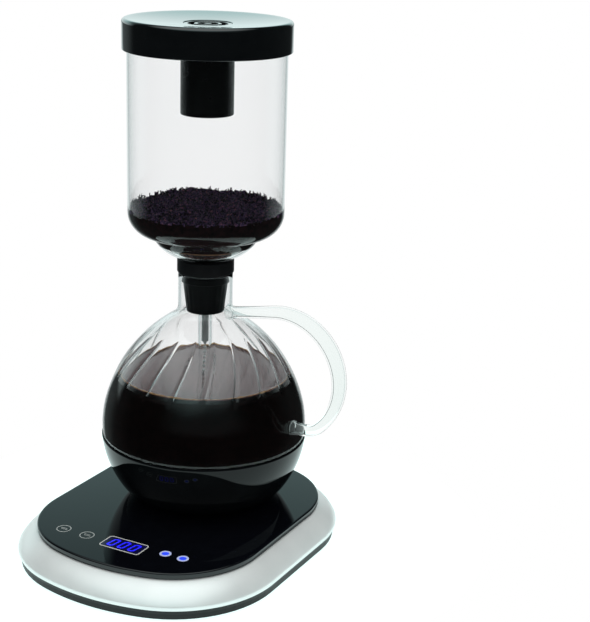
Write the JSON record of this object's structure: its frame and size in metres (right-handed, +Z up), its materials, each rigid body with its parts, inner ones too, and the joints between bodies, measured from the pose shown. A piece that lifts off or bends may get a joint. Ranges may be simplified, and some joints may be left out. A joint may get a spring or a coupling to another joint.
{
  "type": "electric siphon coffee maker",
  "caption": "Electric siphon coffee maker: a round glass jug with a handle on a flat glass-topped control base, a glass upper chamber plugged into its neck, and a black lid.",
  "frame": {"origin": "where the jug's vertical axis meets the table, at the underside of the middle rubber foot", "axes": "+Z up; -Y towards the edge with the display, where the user stands; +X towards the handle, on the user's right"},
  "size_m": [0.1909, 0.2163, 0.338],
  "materials": {
    "rubber": "matt black",
    "silicone": "matt translucent",
    "dark_plastic": "fine satin",
    "silver": "satin silver",
    "panel_glass": "black, mirror gloss",
    "black_gloss": "high gloss",
    "clear_glass": "clear, polished",
    "board": "green lacquer",
    "chips": "lit",
    "display": "satin",
    "display_blue": "lit blue",
    "prints": "print",
    "lamp_white": "lit by the lamp beside it",
    "spring_steel": "bright",
    "copper": "wound and taped",
    "relay": "gloss",
    "capacitor": "gloss sleeve",
    "brass": "bright",
    "white_plastic": "satin",
    "steel": "bright",
    "cable": "satin",
    "leads": "satin",
    "cloth": "felt, stained with coffee",
    "coffee": "liquid",
    "grounds": "wet, coarse"
  },
  "bodies": {
    "base": {"rubber_feet": "rubber", "bottom_cover": "dark_plastic", "base_shell": "silver", "top_panel": "panel_glass", "panel_gasket": "rubber", "control_board": "board", "display_module": "display", "display_digits": "display_blue", "display_frame": "prints", "touch_key_marks": "prints", "touch_springs": "spring_steel", "indicator_rings": "lamp_white", "indicator_lenses": "display_blue", "led_chips": "chips", "power_board": "board", "transformer": "copper", "relay": "relay", "capacitor": "capacitor", "connector_socket": "dark_plastic", "connector_contacts": "brass", "connector_seal": "rubber", "shutter_spring": "spring_steel", "base_screws": "steel", "board_screws": "steel", "ribbon_cable": "cable", "cord_grommet": "rubber", "terminal_block": "white_plastic", "mains_leads": "leads"},
    "shutter": {"contact_shutter": "white_plastic"},
    "jug": {"glass_globe": "clear_glass", "glass_handle": "clear_glass", "cradle_shell": "black_gloss", "globe_seal": "silicone", "heater_bowl": "steel", "heating_element": "steel", "thermostat": "brass", "connector_plug": "dark_plastic", "plug_contacts": "brass", "cradle_bottom": "dark_plastic", "cradle_screws": "steel", "foot_ring": "rubber", "brewed_coffee": "coffee"},
    "chamber": {"upper_glass": "clear_glass", "rubber_stopper": "rubber", "filter_disc": "steel", "filter_cloth": "cloth", "filter_nut": "steel", "filter_spring": "spring_steel", "coffee_grounds": "grounds", "residual_coffee": "coffee"},
    "filter": {"filter_chain": "spring_steel"},
    "lid": {"lid_shell": "black_gloss", "lid_tube": "dark_plastic", "lid_insert": "dark_plastic", "lid_seal": "rubber"}
  },
  "joints": [
    {"name": "carafe_swivel", "type": "hinge", "parent": "base", "child": "shutter", "pos_m": [0, 0, 0.026], "axis": [0, 0, 1], "continuous": true},
    {"name": "carafe_lift", "type": "slide", "parent": "shutter", "child": "jug", "axis": [0, 0, 1], "range_m": [0, 0.06]},
    {"name": "chamber_lift", "type": "slide", "parent": "jug", "child": "chamber", "axis": [0, 0, 1], "range_m": [0, 0.14]},
    {"name": "lid_lift", "type": "slide", "parent": "chamber", "child": "lid", "axis": [0, 0, 1], "range_m": [0, 0.06]},
    {"name": "filter_pull", "type": "slide", "parent": "chamber", "child": "filter", "axis": [0, 0, -1], "range_m": [0, 0.005], "stiffness_N_per_m": 300, "deforming": ["filter_spring"]}
  ]
}
